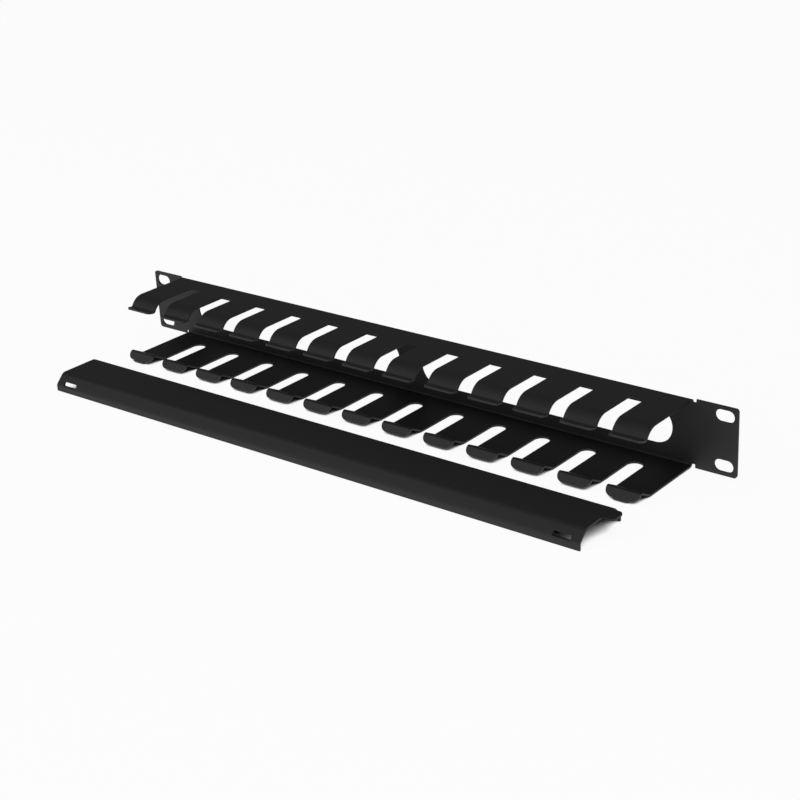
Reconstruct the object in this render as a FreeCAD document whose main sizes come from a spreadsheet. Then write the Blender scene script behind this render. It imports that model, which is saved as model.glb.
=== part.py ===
import FreeCAD, Part
import Sketcher
import math
import os
import re
from FreeCAD import Placement, Rotation, Vector

# Horizontal cable manager for a 19 inch rack, one unit high, with its clip-on cover lying in front.
#
# Frame: X along the rack's width, +Z up, -Y towards the front. The origin is the centre of the
# mounting plane, the back face of the ears that meets the rack's rails.
# Two pieces, each folded from one sheet:
#   comb_body  panel with ears, rack slots and two windows; a flange with fingers above and below
#   cover      shallow tray section that closes the fingers' mouth; two slots take the comb's nibs

SIZES = {
    # comb body, sheet and panel
    "sheet_thickness": 1.2,
    "flange_bend_radius": 1.0,
    "panel_width": 482.6,
    "panel_height": 44.0,
    "ear_corner_radius": 2.0,
    # rack slots in the ears, from the panel's edges to the slot centres: 465.1 apart across the
    # rack and 31.75 up it
    "rack_slot_side_distance": 8.75,
    "rack_slot_edge_distance": 6.125,
    "rack_slot_length": 12.6,
    "rack_slot_width": 7.6,
    # windows in the panel, one each side of the middle bridge
    "window_bridge": 18.6,
    "window_end_margin": 13.2,
    "window_edge_margin": 9.9,
    # ears beyond the flanges, with a bend relief beside each flange
    "ear_width": 29.9,
    "relief_width": 2.4,
    "relief_past_bend": 0.05,
    # comb of fingers
    "finger_count": 13,
    "gap_width": 10.5,
    "top_gap_setback": 17.3,
    "top_gap_corner_radius": 1.5,
    "bottom_gap_setback": 14.1,
    # top finger: flat, long curl downwards, lip forwards
    "top_flat_reach": 42.4,
    "top_curl_radius": 10.3,
    "top_curl_angle": 60.0,
    "top_lip_bend_radius": 1.0,
    "top_lip_rise": 8.0,
    "top_lip_length": 4.6,
    "top_lip_corner_radius": 2.8,
    # bottom finger: flat, ramp upwards, lip rolled forwards and down
    "bottom_flat_reach": 47.7,
    "ramp_bend_radius": 2.0,
    "ramp_angle": 28.0,
    "ramp_length": 11.1,
    "bottom_lip_bend_radius": 1.0,
    "bottom_lip_fall": 43.0,
    "bottom_lip_length": 6.9,
    "bottom_lip_corner_radius": 5.2,
    # nibs on the end fingers' bottom lips, which latch the cover
    "nib_width": 9.0,
    "nib_length": 1.0,
    # cover
    "cover_thickness": 1.2,
    "cover_overhang": 0.9,
    "cover_height_clearance": 1.4,
    "cover_slope_run": 6.7,
    "cover_slope_angle": 45.0,
    "cover_lip_height": 4.4,
    "cover_face_bend_radius": 4.0,
    "cover_lip_bend_radius": 2.0,
    "latch_slot_clearance": 1.6,
    "latch_slot_height": 2.4,
    "tab_length": 7.5,
    "tab_width": 11.0,
    "tab_corner_radius": 3.0,
    # where the cover lies in front of the comb
    "cover_gap": 20.4,
    "cover_shift": 0.9,
    "cover_turn": 0.45,
}

# formulas in size names, shared by several features
FLANGE_LENGTH = "(panel_width - 2 * ear_width)"
FINGER_PITCH = f"(({FLANGE_LENGTH} + gap_width) / finger_count)"
NIB_SPACING = f"((finger_count - 1) * {FINGER_PITCH})"
RACK_SLOT_ACROSS = "(panel_width / 2 - rack_slot_side_distance)"
RACK_SLOT_UP = "(panel_height / 2 - rack_slot_edge_distance)"
WINDOW_LENGTH = f"(({FLANGE_LENGTH} - window_bridge) / 2 - window_end_margin)"
WINDOW_HEIGHT = "(panel_height - 2 * window_edge_margin)"
TOP_REACH = (
    "(top_flat_reach + (top_curl_radius + sheet_thickness) * sin(top_curl_angle)"
    " + top_lip_length + 4 * sheet_thickness)"
)
BOTTOM_REACH = "(bottom_flat_reach + ramp_length + bottom_lip_length + 4 * sheet_thickness)"
COVER_FACE_WIDTH = "(panel_height - cover_height_clearance - 2 * cover_slope_run)"
COVER_SLOPE_DROP = "(cover_slope_run * tan(cover_slope_angle))"
COVER_DEPTH = f"({COVER_SLOPE_DROP} + cover_lip_height)"
COVER_LENGTH = f"({FLANGE_LENGTH} + 2 * cover_overhang)"
COVER_FLAT = (
    f"({COVER_FACE_WIDTH}"
    " - 2 * (cover_face_bend_radius + cover_thickness) * tan(cover_slope_angle / 2))"
)

doc = FreeCAD.newDocument("cable_manager")
sheet = doc.addObject("Spreadsheet::Sheet", "Sizes")
for row, (alias, number) in enumerate(SIZES.items(), start=1):
    sheet.set(f"A{row}", alias.replace("_", " "))
    sheet.set(f"B{row}", str(number))
    sheet.setAlias(f"B{row}", alias)
doc.recompute()


def tied(formula):
    """Write a formula in size names so that the document's objects can follow it."""
    return re.sub(r"[a-z_]+", lambda m: "Sizes." + m[0] if m[0] in SIZES else m[0], formula)


def value(formula):
    """Give the number that a formula in size names stands for."""
    return float(sheet.evalExpression(tied(formula)))


# ---------------------------------------------------------------- bodies and features


def add_body(name):
    body = doc.addObject("PartDesign::Body", name)
    body.Label = name
    return body


def add_sketch(body, name, role, offset_x=None):
    """Add a sketch on one of the body's own planes, moved along X by a formula if one is given."""
    sketch = body.newObject("Sketcher::SketchObject", name)
    plane = next(item for item in body.Origin.OriginFeatures if item.Role == role)
    sketch.AttachmentSupport = [(plane, "")]
    sketch.MapMode = "FlatFace"
    if offset_x:
        sketch.setExpression(".AttachmentOffset.Base.z", tied(offset_x))
    return sketch


def add_pad(body, sketch, name, length, midplane=False, reverse=False):
    pad = body.newObject("PartDesign::Pad", name)
    pad.Profile = sketch
    pad.setExpression("Length", tied(length))
    pad.Midplane = midplane
    pad.Reversed = reverse
    doc.recompute()
    return pad


def add_pocket(body, sketch, name, length, reverse=False):
    """Cut a sketch into the body and make sure that it took material away."""
    before = body.Shape.Volume
    pocket = body.newObject("PartDesign::Pocket", name)
    pocket.Profile = sketch
    pocket.setExpression("Length", tied(length))
    pocket.Reversed = reverse
    doc.recompute()
    if body.Shape.Volume >= before - 1e-3:
        raise RuntimeError(f"{name} cuts nothing")
    return pocket


def add_row(body, feature, name, length, count):
    """Repeat a feature along X."""
    axis = next(item for item in body.Origin.OriginFeatures if item.Role == "X_Axis")
    pattern = body.newObject("PartDesign::LinearPattern", name)
    pattern.Originals = [feature]
    pattern.Direction = (axis, [""])
    pattern.setExpression("Length", tied(length))
    pattern.setExpression("Occurrences", tied(count))
    body.Tip = pattern
    doc.recompute()
    return pattern


def add_mirror(body, feature, name):
    """Repeat a feature on the other side of the YZ plane."""
    plane = next(item for item in body.Origin.OriginFeatures if item.Role == "YZ_Plane")
    mirror = body.newObject("PartDesign::Mirrored", name)
    mirror.Originals = [feature]
    mirror.MirrorPlane = (plane, [""])
    body.Tip = mirror
    doc.recompute()
    return mirror


def add_fillet(body, name, radius, wanted):
    """Round the edges that the wanted test picks."""
    base = body.Tip
    picked = [f"Edge{i}" for i, edge in enumerate(base.Shape.Edges, start=1) if wanted(edge)]
    if not picked:
        raise RuntimeError(f"{name} finds no edge")
    fillet = body.newObject("PartDesign::Fillet", name)
    fillet.Base = (base, picked)
    fillet.setExpression("Radius", tied(radius))
    body.Tip = fillet
    doc.recompute()
    return fillet


# ---------------------------------------------------------------- sketch outlines


def limit(sketch, kind, *terms, name, formula):
    """Add a dimension to a sketch and tie it to a formula in size names."""
    number = value(formula)
    if kind == "Angle":
        number = math.radians(number)
    sketch.addConstraint(Sketcher.Constraint(kind, *terms, number))
    index = sketch.ConstraintCount - 1
    sketch.renameConstraint(index, name)
    sketch.setExpression(f"Constraints.{name}", tied(formula))


def draw_polygon(sketch, corners, name):
    """Draw a closed outline whose corners (formula, formula) are tied to the sizes."""
    points = [Vector(value(across), value(up), 0) for across, up in corners]
    count = len(points)
    for i, point in enumerate(points):
        sketch.addGeometry(Part.LineSegment(point, points[(i + 1) % count]), False)
    for i in range(count):
        sketch.addConstraint(Sketcher.Constraint("Coincident", i, 2, (i + 1) % count, 1))
    for i, (across, up) in enumerate(corners):
        limit(sketch, "DistanceX", -1, 1, i, 1, name=f"{name}_x{i}", formula=across)
        limit(sketch, "DistanceY", -1, 1, i, 1, name=f"{name}_y{i}", formula=up)


def draw_slot(sketch, centre, length, width, name):
    """Draw an obround along the sketch's first axis, tied to formulas in size names."""
    x, y = value(centre[0]), value(centre[1])
    half, radius = (value(length) - value(width)) / 2, value(width) / 2
    left, right = Vector(x - half, y, 0), Vector(x + half, y, 0)
    rise, normal = Vector(0, radius, 0), Vector(0, 0, 1)
    first = sketch.GeometryCount
    quarter = math.pi / 2
    sketch.addGeometry(Part.ArcOfCircle(Part.Circle(left, normal, radius), quarter, 3 * quarter), False)
    sketch.addGeometry(Part.LineSegment(left - rise, right - rise), False)
    sketch.addGeometry(Part.ArcOfCircle(Part.Circle(right, normal, radius), -quarter, quarter), False)
    sketch.addGeometry(Part.LineSegment(right + rise, left + rise), False)
    for start, end in ((0, 1), (1, 2), (2, 3), (3, 0)):
        sketch.addConstraint(Sketcher.Constraint("Tangent", first + start, 2, first + end, 1))
    sketch.addConstraint(Sketcher.Constraint("Horizontal", first + 1))
    limit(sketch, "Radius", first, name=f"{name}_radius", formula=f"({width}) / 2")
    for side, arc, sign in (("left", first, "-"), ("right", first + 2, "+")):
        across = f"({centre[0]}) {sign} (({length}) - ({width})) / 2"
        limit(sketch, "DistanceX", -1, 1, arc, 3, name=f"{name}_{side}", formula=across)
    limit(sketch, "DistanceY", -1, 1, first, 3, name=f"{name}_level", formula=centre[1])


class Fold:
    """Both faces of a sheet followed along its bends, seen from its edge.

    The walk starts on the sheet's middle plane. A bend turns to the left for a positive angle
    and keeps its radius on the inner face.
    """

    def __init__(self, start, heading, thickness):
        self.point = Vector(*start, 0)
        self.heading = math.radians(heading)
        self.thickness = thickness
        self.left = []
        self.right = []

    def side(self, offset):
        across = Vector(-math.sin(self.heading), math.cos(self.heading), 0)
        return self.point + across * offset

    def straight(self, length):
        half = self.thickness / 2
        starts = self.side(half), self.side(-half)
        self.point += Vector(math.cos(self.heading), math.sin(self.heading), 0) * length
        self.left.append(Part.LineSegment(starts[0], self.side(half)))
        self.right.append(Part.LineSegment(starts[1], self.side(-half)))
        return self

    def bend(self, angle, radius):
        half = self.thickness / 2
        turn = math.copysign(1.0, angle)
        centre = self.side(turn * (radius + half))
        arcs = []
        for offset in (half, -half):
            reach = radius + half - turn * offset
            points = []
            for part in (0.0, 0.5, 1.0):
                heading = self.heading + math.radians(angle) * part
                points.append(centre + Vector(math.sin(heading), -math.cos(heading), 0) * turn * reach)
            arcs.append(Part.Arc(*points))
        self.left.append(arcs[0])
        self.right.append(arcs[1])
        self.heading += math.radians(angle)
        self.point = centre - Vector(-math.sin(self.heading), math.cos(self.heading), 0) * turn * (
            radius + half
        )
        return self

    def end(self):
        return self.side(self.thickness / 2), self.side(-self.thickness / 2)


def draw_section(sketch, upper, lower):
    """Draw the closed outline of a sheet made of two walks that leave one point both ways."""
    outline = list(upper.left)
    outline.append(Part.LineSegment(*upper.end()))
    outline += reversed(upper.right)
    outline += lower.left
    outline.append(Part.LineSegment(*lower.end()))
    outline += reversed(lower.right)
    for piece in outline:
        sketch.addGeometry(piece, False)
    sketch.detectMissingPointOnPointConstraints(1e-6)
    sketch.makeMissingPointOnPointCoincident()


# ---------------------------------------------------------------- comb body


def finger_walks():
    """Follow the comb body's sheet from the panel's middle to both fingers' tips, in Y and Z."""
    thickness = value("sheet_thickness")
    rise = value("panel_height / 2 - sheet_thickness - flange_bend_radius")
    bend = value("flange_bend_radius")
    back = value("sheet_thickness + flange_bend_radius")
    start = (-thickness / 2, 0)

    upper = Fold(start, 90, thickness)
    upper.straight(rise).bend(90, bend).straight(value("top_flat_reach") - back)
    upper.bend(value("top_curl_angle"), value("top_curl_radius"))
    upper.bend(-value("top_curl_angle + top_lip_rise"), value("top_lip_bend_radius"))
    upper.straight(value("top_lip_length"))

    ramp_setback = value("ramp_bend_radius * tan(ramp_angle / 2)")
    lip_turn = value("ramp_angle + bottom_lip_fall")
    lip_setback = value(
        "(bottom_lip_bend_radius + sheet_thickness) * tan((ramp_angle + bottom_lip_fall) / 2)"
    )
    lower = Fold(start, -90, thickness)
    lower.straight(rise).bend(-90, bend).straight(value("bottom_flat_reach") - back - ramp_setback)
    lower.bend(-value("ramp_angle"), value("ramp_bend_radius"))
    lower.straight(value("ramp_length") - ramp_setback - lip_setback)
    lower.bend(lip_turn, value("bottom_lip_bend_radius"))
    lower.straight(value("bottom_lip_length") - lip_setback)
    return upper, lower


def build_comb_body():
    body = add_body("comb_body")
    upper, lower = finger_walks()

    section = add_sketch(body, "fold_section", "YZ_Plane")
    draw_section(section, upper, lower)
    add_pad(body, section, "folded_sheet", FLANGE_LENGTH, midplane=True)

    # the panel runs on past the flanges as ears, with a relief beside each bend
    half_width, half_height = "panel_width / 2", "panel_height / 2"
    step = f"{FLANGE_LENGTH} / 2 + relief_width"
    waist = f"{half_height} - sheet_thickness - flange_bend_radius - relief_past_bend"
    corner_run = [(half_width, half_height), (step, half_height), (step, waist)]
    corners = list(corner_run)
    corners += [(f"-({x})", y) for x, y in reversed(corner_run)]
    corners += [(f"-({x})", f"-({y})") for x, y in corner_run]
    corners += [(x, f"-({y})") for x, y in reversed(corner_run)]
    panel = add_sketch(body, "panel_outline", "XZ_Plane")
    draw_polygon(panel, corners, "corner")
    add_pad(body, panel, "panel", "sheet_thickness")

    edge = value(half_width)

    def at_ear_corner(item):
        centre = item.CenterOfMass
        along_y = abs(item.BoundBox.YLength - item.Length) < 1e-6
        return along_y and abs(abs(centre.x) - edge) < 1e-6

    add_fillet(body, "ear_corners", "ear_corner_radius", at_ear_corner)

    slots = add_sketch(body, "rack_slot_outlines", "XZ_Plane")
    for x_side in "-", "":
        for z_side in "-", "":
            centre = (x_side + RACK_SLOT_ACROSS, z_side + RACK_SLOT_UP)
            name = "slot_" + ("left" if x_side else "right") + ("_low" if z_side else "_high")
            draw_slot(slots, centre, "rack_slot_length", "rack_slot_width", name)
    add_pocket(body, slots, "rack_slots", "sheet_thickness", reverse=True)

    windows = add_sketch(body, "window_outlines", "XZ_Plane")
    for name, side in (("left", "-"), ("right", "")):
        centre = (f"{side}(window_bridge + {WINDOW_LENGTH}) / 2", "0")
        draw_slot(windows, centre, WINDOW_LENGTH, WINDOW_HEIGHT, name)
    add_pocket(body, windows, "windows", "sheet_thickness", reverse=True)

    cut_gaps(body, "top", TOP_REACH, "top_gap_setback", up=True)
    cut_gaps(body, "bottom", BOTTOM_REACH, "bottom_gap_setback", up=False)

    def at_tip(walk):
        ends = walk.end()
        middle, thickness = (ends[0] + ends[1]) * 0.5, walk.thickness

        def wanted(item):
            centre = item.CenterOfMass
            short = abs(item.Length - thickness) < 1e-6
            return short and math.hypot(centre.y - middle.x, centre.z - middle.y) < 1e-4

        return wanted

    add_fillet(body, "top_lip_corners", "top_lip_corner_radius", at_tip(upper))
    add_fillet(body, "bottom_lip_corners", "bottom_lip_corner_radius", at_tip(lower))

    # each end finger's bottom lip runs on as a nib
    nib = add_sketch(body, "nib_section", "YZ_Plane", offset_x=f"{NIB_SPACING} / 2")
    lead = Vector(math.cos(lower.heading), math.sin(lower.heading), 0)
    root, tip = lead * -value("sheet_thickness"), lead * value("nib_length")
    left, right = lower.end()
    points = [left + root, left + tip, right + tip, right + root]
    for i, point in enumerate(points):
        nib.addGeometry(Part.LineSegment(point, points[(i + 1) % 4]), False)
    pad = add_pad(body, nib, "nib", "nib_width", midplane=True)
    add_mirror(body, pad, "nib_pair")
    return body


def cut_gaps(body, side, reach, setback, up):
    """Cut one comb's row of gaps, from in front of the fingers back to the gaps' rounded ends."""
    start = f"-({NIB_SPACING} - {FINGER_PITCH}) / 2"
    outline = add_sketch(body, f"{side}_gap_outline", "XY_Plane")
    width, back = value("gap_width"), -value(setback)
    middle, front = value(start), -value(reach)
    radius = value("gap_width / 2") if side == "bottom" else value("top_gap_corner_radius")
    left, right = middle - width / 2, middle + width / 2
    normal, quarter = Vector(0, 0, 1), math.pi / 2
    left_centre = Vector(left + radius, back - radius, 0)
    right_centre = Vector(right - radius, back - radius, 0)
    rise = Vector(0, radius, 0)
    pieces = [
        Part.LineSegment(Vector(left, front, 0), Vector(right, front, 0)),
        Part.LineSegment(Vector(right, front, 0), Vector(right, back - radius, 0)),
        Part.ArcOfCircle(Part.Circle(right_centre, normal, radius), 0, quarter),
        Part.ArcOfCircle(Part.Circle(left_centre, normal, radius), quarter, 2 * quarter),
        Part.LineSegment(Vector(left, back - radius, 0), Vector(left, front, 0)),
    ]
    if radius < width / 2:
        pieces.insert(3, Part.LineSegment(right_centre + rise, left_centre + rise))
    for piece in pieces:
        outline.addGeometry(piece, False)
    pocket = add_pocket(body, outline, f"{side}_gap", "panel_height", reverse=up)
    add_row(body, pocket, f"{side}_gaps", f"{NIB_SPACING} - {FINGER_PITCH}", "finger_count - 1")


# ---------------------------------------------------------------- cover


def build_cover():
    """Build the cover face up, with its origin at the middle of its outer face."""
    body = add_body("cover")
    thickness = value("cover_thickness")
    slope = value(
        "cover_slope_run / cos(cover_slope_angle)"
        " - (cover_face_bend_radius + cover_thickness) * tan(cover_slope_angle / 2)"
        " - (cover_lip_bend_radius + cover_thickness) * tan((90 - cover_slope_angle) / 2)"
    )
    lip = value(
        "cover_lip_height - (cover_lip_bend_radius + cover_thickness) * tan((90 - cover_slope_angle) / 2)"
    )
    angle = value("cover_slope_angle")

    walks = []
    for heading, turn in ((180, 1), (0, -1)):
        walk = Fold((0, -thickness / 2), heading, thickness)
        walk.straight(value(COVER_FLAT) / 2).bend(turn * angle, value("cover_face_bend_radius"))
        walk.straight(slope).bend(turn * (90 - angle), value("cover_lip_bend_radius"))
        walk.straight(lip)
        walks.append(walk)
    section = add_sketch(body, "tray_section", "YZ_Plane")
    draw_section(section, *walks)
    add_pad(body, section, "tray", COVER_LENGTH, midplane=True)

    # pull tab that runs on from the face past the right end, along the far bend
    tab = add_sketch(body, "tab_outline", "XY_Plane")
    end, far = f"{COVER_LENGTH} / 2", f"{COVER_FLAT} / 2"
    near, tip = f"{far} - tab_width", f"{end} + tab_length"
    root = f"{end} - cover_thickness"
    draw_polygon(tab, [(root, near), (tip, near), (tip, far), (root, far)], "tab")
    add_pad(body, tab, "tab", "cover_thickness", reverse=True)
    reach = value(tip)

    def at_tab_corner(item):
        upright = abs(item.BoundBox.ZLength - item.Length) < 1e-6
        return upright and abs(item.CenterOfMass.x - reach) < 1e-6

    add_fillet(body, "tab_corners", "tab_corner_radius", at_tab_corner)

    # latch slots low in the near slope, one over each nib
    latch = add_sketch(body, "latch_slot_outlines", "XZ_Plane")
    level = f"-{COVER_SLOPE_DROP} + latch_slot_height / 2"
    for name, side in (("left", "-"), ("right", "")):
        centre = (f"{side}{NIB_SPACING} / 2", level)
        draw_slot(latch, centre, "nib_width + 2 * latch_slot_clearance", "latch_slot_height", name)
    add_pocket(body, latch, "latch_slots", COVER_FACE_WIDTH, reverse=True)
    return body


def place_cover(cover, comb_body):
    """Lay the cover in front of the comb, on the plane that the comb's bottom flange rests on."""
    front = comb_body.Shape.BoundBox.YMin
    half = value(f"{COVER_FACE_WIDTH} / 2 + cover_slope_run")
    turn = Rotation(Vector(0, 0, 1), value("cover_turn"))
    cover.Placement = Placement(
        Vector(value("cover_shift"), front - value("cover_gap") - half, 0), turn
    )
    cover.setExpression(".Placement.Base.z", tied(f"{COVER_DEPTH} - panel_height / 2"))


def write_parts(bodies):
    """Check every object and shape, then write one STEP file for each piece."""
    for item in doc.Objects:
        if {"Invalid", "Error"} & set(item.State):
            raise RuntimeError(f"{item.Name} failed: {item.State}")
    for body in bodies:
        if body.Shape.isNull() or not body.Shape.isValid() or len(body.Shape.Solids) != 1:
            raise RuntimeError(f"{body.Label} is not one valid solid")
    os.makedirs("parts", exist_ok=True)
    for body in bodies:
        body.Shape.exportStep(f"parts/{body.Label}.step")
        box = body.Shape.BoundBox
        print(
            f"{body.Label}: {body.Shape.Volume / 1000:.2f} cm3,"
            f" X {box.XMin:.2f} {box.XMax:.2f} Y {box.YMin:.2f} {box.YMax:.2f}"
            f" Z {box.ZMin:.2f} {box.ZMax:.2f}"
        )


comb_body = build_comb_body()
cover = build_cover()
place_cover(cover, comb_body)
doc.recompute()
write_parts([comb_body, cover])
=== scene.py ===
import logging
import math
from dataclasses import dataclass, field
from enum import Enum

import bpy
from mathutils import Matrix, Vector


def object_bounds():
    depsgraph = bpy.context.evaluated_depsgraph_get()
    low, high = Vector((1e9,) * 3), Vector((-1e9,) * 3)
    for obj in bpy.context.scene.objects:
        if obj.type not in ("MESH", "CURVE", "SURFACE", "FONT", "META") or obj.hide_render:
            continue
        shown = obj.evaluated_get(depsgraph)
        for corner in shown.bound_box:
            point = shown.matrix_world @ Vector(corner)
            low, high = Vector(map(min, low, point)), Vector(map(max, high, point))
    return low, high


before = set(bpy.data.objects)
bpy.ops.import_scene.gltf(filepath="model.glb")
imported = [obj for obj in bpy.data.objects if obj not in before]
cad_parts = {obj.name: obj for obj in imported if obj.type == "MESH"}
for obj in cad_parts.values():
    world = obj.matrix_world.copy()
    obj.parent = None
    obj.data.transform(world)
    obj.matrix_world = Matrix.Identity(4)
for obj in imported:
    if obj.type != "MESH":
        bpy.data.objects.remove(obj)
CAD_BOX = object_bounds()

log = logging.getLogger("cable_manager")
MM = 0.001


def linear(hex_colour: str) -> tuple[float, float, float, float]:
    """Turn an sRGB hex colour into the linear colour that shaders use.

    Args:
        hex_colour: Six hex digits, such as "1A1A1C".

    Returns:
        Red, green, blue and an alpha of one, all linear.
    """
    channels = [int(hex_colour[i:i + 2], 16) / 255 for i in (0, 2, 4)]
    parts = [c / 12.92 if c <= 0.04045 else ((c + 0.055) / 1.055) ** 2.4 for c in channels]
    return (*parts, 1.0)


class Piece(Enum):
    """The part's two nodes."""

    COMB_BODY = "comb_body"
    COVER = "cover"


class NodeSheet:
    """A node tree with short calls for adding and joining nodes."""

    def __init__(self, owner: bpy.types.Material | bpy.types.World, output: str) -> None:
        """Start an empty sheet.

        Args:
            owner: The material or world that the nodes belong to.
            output: Type name of the output node.
        """
        owner.use_nodes = True
        self.tree = owner.node_tree
        self.tree.nodes.clear()
        self.output = self.add(output)

    def add(self, kind: str, **values: object) -> bpy.types.Node:
        """Add a node.

        Args:
            kind: The node's type name.
            **values: Properties of the node to set.

        Returns:
            The new node.
        """
        node = self.tree.nodes.new(kind)
        for name, value in values.items():
            setattr(node, name, value)
        return node

    def join(self, source: bpy.types.NodeSocket, target: bpy.types.NodeSocket) -> None:
        """Link one socket to another.

        Args:
            source: The output socket.
            target: The input socket.
        """
        self.tree.links.new(source, target)

    def calculate(
        self, operation: str, first: bpy.types.NodeSocket, second: bpy.types.NodeSocket
    ) -> bpy.types.NodeSocket:
        """Work out one value from two.

        Args:
            operation: Name of the operation, such as "MAXIMUM".
            first: The first value.
            second: The second value.

        Returns:
            The result's socket.
        """
        node = self.add("ShaderNodeMath", operation=operation)
        self.join(first, node.inputs[0])
        self.join(second, node.inputs[1])
        return node.outputs["Value"]

    def ramp(
        self,
        source: bpy.types.NodeSocket,
        low: float,
        high: float,
        target: tuple[float, float] = (0.0, 1.0),
    ) -> bpy.types.NodeSocket:
        """Stretch a value from one range to another and clamp it.

        Args:
            source: The value.
            low: Where the ramp starts.
            high: Where the ramp ends, which may be below its start.
            target: The result at both ends.

        Returns:
            The result's socket.
        """
        node = self.add("ShaderNodeMapRange")
        limits = {"From Min": low, "From Max": high, "To Min": target[0], "To Max": target[1]}
        for name, value in limits.items():
            node.inputs[name].default_value = value
        self.join(source, node.inputs["Value"])
        return node.outputs["Result"]

    def seen(self) -> bpy.types.NodeSocket:
        """Tell the rays that look at the studio from those that light it.

        Returns:
            A value of one for rays from the camera and for reflected or refracted rays.
        """
        rays = self.add("ShaderNodeLightPath").outputs
        either = self.calculate("MAXIMUM", rays["Is Camera Ray"], rays["Is Glossy Ray"])
        return self.calculate("MAXIMUM", either, rays["Is Transmission Ray"])


@dataclass(frozen=True)
class PaintedLipLight:
    """The lips in front, where the coat is painted a shade lighter as a painted highlight for
    the light they catch, and set smoother.

    It gives the eye a thin paler rim along both rows of fingers. The zone starts at a plane
    through both rows' lip bends, which leans with the fingers' tips.
    """

    # Painted light: the lips' lighter colour stands in for the light their faces catch.
    colour: str = "2A2A2D"
    lean: tuple[float, float, float] = (0.0, -1.0, 0.16)
    start: float = 55.0 * MM
    fade: float = 0.6 * MM
    smoother: float = 0.13


@dataclass(frozen=True)
class PowderCoat:
    """Black powder coat on steel: a satin skin with a fine orange peel and faint dust.

    It gives the eye an even charcoal black that turns lighter where it faces the lamps,
    with a sheen broken up by the coat's small bumps.
    """

    name: str = "satin_black_powder_coat"
    colour: str = "131315"
    pale: str = "17171A"
    roughness: float = 0.58
    roughness_spread: float = 0.06
    ior: float = 1.50
    peel_size: float = 0.9 * MM
    peel_depth: float = 0.012 * MM
    grain_size: float = 0.22 * MM
    grain_depth: float = 0.004 * MM
    cloud_size: float = 60 * MM
    peel_detail: float = 1.0
    grain_detail: float = 2.0
    cloud_detail: float = 3.0
    edge_radius: float = 0.35 * MM
    edge_samples: int = 6
    # Painted light on the lips, when set.
    lip_light: PaintedLipLight | None = None

    def make(self) -> bpy.types.Material:
        """Build the material.

        Returns:
            The finished material.
        """
        material = bpy.data.materials.new(self.name)
        sheet = NodeSheet(material, "ShaderNodeOutputMaterial")
        place = sheet.add("ShaderNodeTexCoord").outputs["Object"]
        shader = sheet.add("ShaderNodeBsdfPrincipled")
        shader.inputs["IOR"].default_value = self.ior

        clouds = self._noise(sheet, place, self.cloud_size, self.cloud_detail)
        shade = sheet.add("ShaderNodeMix", data_type="RGBA")
        shade.inputs["A"].default_value = linear(self.colour)
        shade.inputs["B"].default_value = linear(self.pale)
        sheet.join(clouds, shade.inputs["Factor"])
        colour = shade.outputs["Result"]

        grain = self._noise(sheet, place, self.grain_size, self.grain_detail)
        peel = self._noise(sheet, place, self.peel_size, self.peel_detail)
        spread = (self.roughness - self.roughness_spread, self.roughness + self.roughness_spread)
        roughness = sheet.ramp(peel, 0.0, 1.0, spread)
        # Paint light onto the lips as a lighter colour, and smooth their coat.
        if self.lip_light:
            colour, roughness = self._paint_lip_light(sheet, place, colour, roughness)
        sheet.join(colour, shader.inputs["Base Color"])
        sheet.join(roughness, shader.inputs["Roughness"])

        edge = sheet.add("ShaderNodeBevel", samples=self.edge_samples)
        edge.inputs["Radius"].default_value = self.edge_radius
        broad = self._bump(sheet, peel, self.peel_depth, edge.outputs["Normal"])
        fine = self._bump(sheet, grain, self.grain_depth, broad)
        sheet.join(fine, shader.inputs["Normal"])
        sheet.join(shader.outputs["BSDF"], sheet.output.inputs["Surface"])
        return material

    def _paint_lip_light(
        self,
        sheet: NodeSheet,
        place: bpy.types.NodeSocket,
        colour: bpy.types.NodeSocket,
        roughness: bpy.types.NodeSocket,
    ) -> tuple[bpy.types.NodeSocket, bpy.types.NodeSocket]:
        """Paint the lips a shade lighter as painted light, and make their coat smoother.

        Args:
            sheet: The material's nodes.
            place: The coordinates to read.
            colour: The coat's colour socket.
            roughness: The coat's roughness socket.

        Returns:
            The sockets of the colour, with the painted light on the lips, and of the roughness,
            smoother there.
        """
        along = sheet.add("ShaderNodeVectorMath", operation="DOT_PRODUCT")
        along.inputs[1].default_value = self.lip_light.lean
        sheet.join(place, along.inputs[0])
        start = self.lip_light.start
        zone = sheet.ramp(along.outputs["Value"], start, start + self.lip_light.fade)
        shade = sheet.add("ShaderNodeMix", data_type="RGBA")
        sheet.join(zone, shade.inputs["Factor"])
        sheet.join(colour, shade.inputs["A"])
        shade.inputs["B"].default_value = linear(self.lip_light.colour)
        polish = sheet.ramp(zone, 0.0, 1.0, (0.0, self.lip_light.smoother))
        return shade.outputs["Result"], sheet.calculate("SUBTRACT", roughness, polish)

    @staticmethod
    def _noise(
        sheet: NodeSheet, place: bpy.types.NodeSocket, size: float, detail: float
    ) -> bpy.types.NodeSocket:
        """Add a noise whose bumps are as wide as the given size.

        Args:
            sheet: The material's nodes.
            place: The coordinates to read.
            size: Width of one bump in metres.
            detail: How many finer layers the noise holds.

        Returns:
            The noise's value socket.
        """
        noise = sheet.add("ShaderNodeTexNoise")
        noise.inputs["Scale"].default_value = 1 / size
        noise.inputs["Detail"].default_value = detail
        sheet.join(place, noise.inputs["Vector"])
        return noise.outputs["Fac"]

    @staticmethod
    def _bump(
        sheet: NodeSheet,
        height: bpy.types.NodeSocket,
        depth: float,
        normal: bpy.types.NodeSocket,
    ) -> bpy.types.NodeSocket:
        """Turn a height pattern into a bent normal.

        Args:
            sheet: The material's nodes.
            height: The pattern's value socket.
            depth: Height in metres between the pattern's low and high.
            normal: The normal to bend.

        Returns:
            The bent normal's socket.
        """
        bump = sheet.add("ShaderNodeBump")
        bump.inputs["Strength"].default_value = 1.0
        bump.inputs["Distance"].default_value = depth
        sheet.join(height, bump.inputs["Height"])
        sheet.join(normal, bump.inputs["Normal"])
        return bump.outputs["Normal"]


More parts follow.
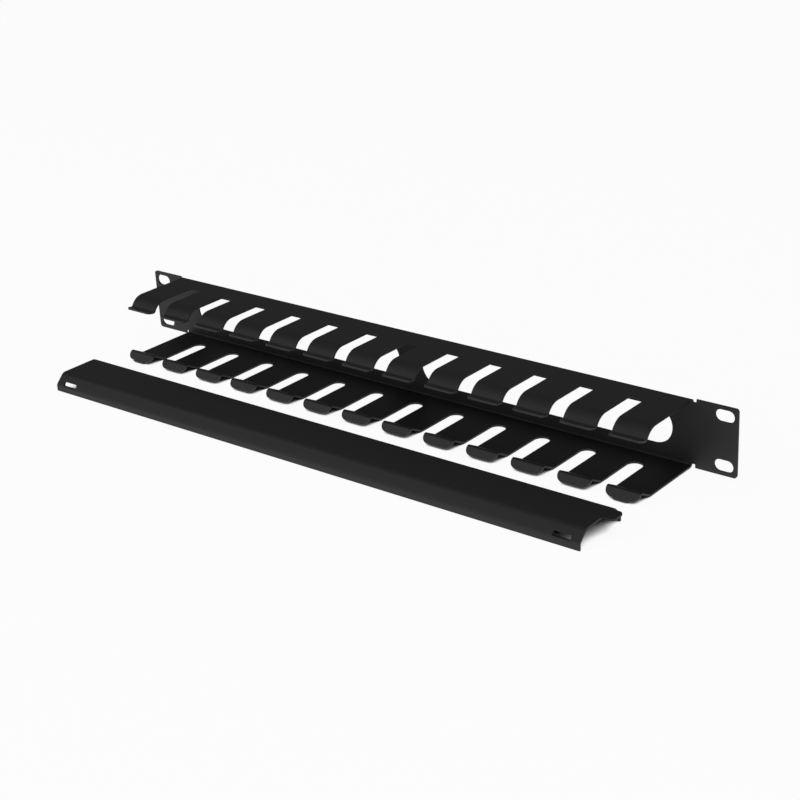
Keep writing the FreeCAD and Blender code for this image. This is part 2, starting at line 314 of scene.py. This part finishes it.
@dataclass
class FoldedPiece:
    """One folded and coated sheet of the product."""

    piece: Piece
    finish: PowderCoat

    def dress(self) -> bpy.types.Object:
        """Coat the piece.

        Returns:
            The coated object.
        """
        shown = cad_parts[self.piece.value]
        material = self.finish.make()
        for slot in shown.material_slots:
            slot.material = material
        return shown


@dataclass
class Lamp:
    """A softbox that faces a point."""

    name: str
    place: tuple[float, float, float]
    size: float
    power: float
    aim: tuple[float, float, float] = (0.0, -0.06, 0.0)

    def build(self) -> bpy.types.Object:
        """Hang the softbox.

        Returns:
            The lamp object.
        """
        light = bpy.data.lights.new(self.name, "AREA")
        light.shape = "SQUARE"
        light.size = self.size
        light.energy = self.power
        lamp = bpy.data.objects.new(self.name, light)
        lamp.location = self.place
        away = Vector(self.place) - Vector(self.aim)
        lamp.rotation_euler = away.to_track_quat("Z", "Y").to_euler()
        bpy.context.scene.collection.objects.link(lamp)
        return lamp


@dataclass
class Studio:
    """A white floor, soft lamps and a plain dim surround.

    The floor's glow fades where pieces lie within a set reach of it, which paints shade under
    and beside them:
    to nothing where no more than a low set share of the view up from the floor is open, and not
    at all from a higher set share.
    """

    floor_size: float = 120.0
    floor_colour: str = "FAFAFA"
    floor_roughness: float = 0.9
    surround: float = 0.17
    glow: float = 1.06
    glow_share: float = 0.88
    painted_shade_reach: float = 40 * MM
    painted_shade_reach_shut: float = 0.14
    painted_shade_reach_open: float = 0.36
    painted_shade_reach_samples: int = 16
    clearance: float = 0.2 * MM
    lamps: list[Lamp] = field(
        default_factory=lambda: [
            Lamp("key", (-2.4, -2.7, 2.3), 2.0, 26.0),
            Lamp("front", (0.6, -3.2, 0.4), 1.6, 20.0),
            Lamp("edge", (2.2, -1.6, 0.9), 1.4, 12.0),
            Lamp("top", (0.0, -0.6, 3.2), 2.0, 7.0),
        ]
    )

    def build(self) -> None:
        """Lay the floor, hang the lamps and set the surround."""
        low = CAD_BOX[0][2] - self.clearance
        bpy.ops.object.select_all(action="DESELECT")
        bpy.ops.mesh.primitive_plane_add(size=self.floor_size, location=(0, 0, low))
        floor = bpy.context.active_object
        floor.name = "floor"
        floor.data.materials.append(self._paper())
        for lamp in self.lamps:
            lamp.build()
        self._surround()

    def _paper(self) -> bpy.types.Material:
        """Build the floor's matt white paper, which gives the eye an even white ground.

        The glow is seen directly and in reflections, and adds no diffuse light; near the pieces
        it is cut into a painted shade.

        Returns:
            The floor's material.
        """
        paper = bpy.data.materials.new("studio_paper")
        sheet = NodeSheet(paper, "ShaderNodeOutputMaterial")
        lit = sheet.add("ShaderNodeBsdfPrincipled")
        lit.inputs["Base Color"].default_value = linear(self.floor_colour)
        lit.inputs["Roughness"].default_value = self.floor_roughness
        lit.inputs["Specular IOR Level"].default_value = 0.0
        # Ambient occlusion cuts the glow: a painted shade under and beside the pieces. The lit
        # paper keeps the lamps' real shadows.
        painted_shade_mask = sheet.add("ShaderNodeAmbientOcclusion", samples=self.painted_shade_reach_samples)
        painted_shade_mask.inputs["Distance"].default_value = self.painted_shade_reach
        glow = sheet.add("ShaderNodeEmission")
        strength = sheet.ramp(
            painted_shade_mask.outputs["AO"], self.painted_shade_reach_shut, self.painted_shade_reach_open, (0.0, self.glow)
        )
        sheet.join(strength, glow.inputs["Strength"])
        share = sheet.ramp(sheet.seen(), 0.0, 1.0, (0.0, self.glow_share))
        both = sheet.add("ShaderNodeMixShader")
        sheet.join(share, both.inputs[0])
        sheet.join(lit.outputs["BSDF"], both.inputs[1])
        sheet.join(glow.outputs["Emission"], both.inputs[2])
        sheet.join(both.outputs["Shader"], sheet.output.inputs["Surface"])
        return paper

    def _surround(self) -> None:
        """Set a dim surround, which the floor hides from the camera."""
        world = bpy.data.worlds.new("surround")
        bpy.context.scene.world = world
        sheet = NodeSheet(world, "ShaderNodeOutputWorld")
        room = sheet.add("ShaderNodeBackground")
        room.inputs["Color"].default_value = linear("FFFFFF")
        room.inputs["Strength"].default_value = self.surround
        sheet.join(room.outputs["Background"], sheet.output.inputs["Surface"])


@dataclass
class ViewCamera:
    """The camera, from the front right and a little above."""

    azimuth: float = 40.061
    elevation: float = 23.232
    roll: float = -3.189
    place: tuple[float, float, float] = (0.65378, -0.79160, 0.41345)
    lens: float = 75.173
    sensor_width: float = 36.0
    clip_start: float = 10 * MM

    def build(self) -> bpy.types.Object:
        """Set up the camera and make it the scene's own.

        Returns:
            The camera object.
        """
        data = bpy.data.cameras.new("camera")
        data.lens = self.lens
        data.sensor_width = self.sensor_width
        data.clip_start = self.clip_start
        camera = bpy.data.objects.new("camera", data)
        turn = (
            Matrix.Rotation(math.radians(self.azimuth), 4, "Z")
            @ Matrix.Rotation(math.radians(90 - self.elevation), 4, "X")
            @ Matrix.Rotation(math.radians(self.roll), 4, "Z")
        )
        camera.matrix_world = Matrix.Translation(self.place) @ turn
        bpy.context.scene.collection.objects.link(camera)
        bpy.context.scene.camera = camera
        return camera


def main() -> None:
    """Dress the two pieces, then set the studio and the camera."""
    logging.basicConfig(level=logging.INFO)
    plain = PowderCoat()
    # The comb body's coat carries painted light on its lips.
    lip_lit_coat = PowderCoat(name="satin_black_powder_coat_painted_lip_light", lip_light=PaintedLipLight())
    for piece in (FoldedPiece(Piece.COMB_BODY, lip_lit_coat), FoldedPiece(Piece.COVER, plain)):
        shown = piece.dress()
        log.info("%s dressed", shown.name)
    Studio().build()
    ViewCamera().build()
    bpy.context.scene.view_settings.view_transform = "Standard"
    log.info("sizes written")


if __name__ == "__main__":
    main()
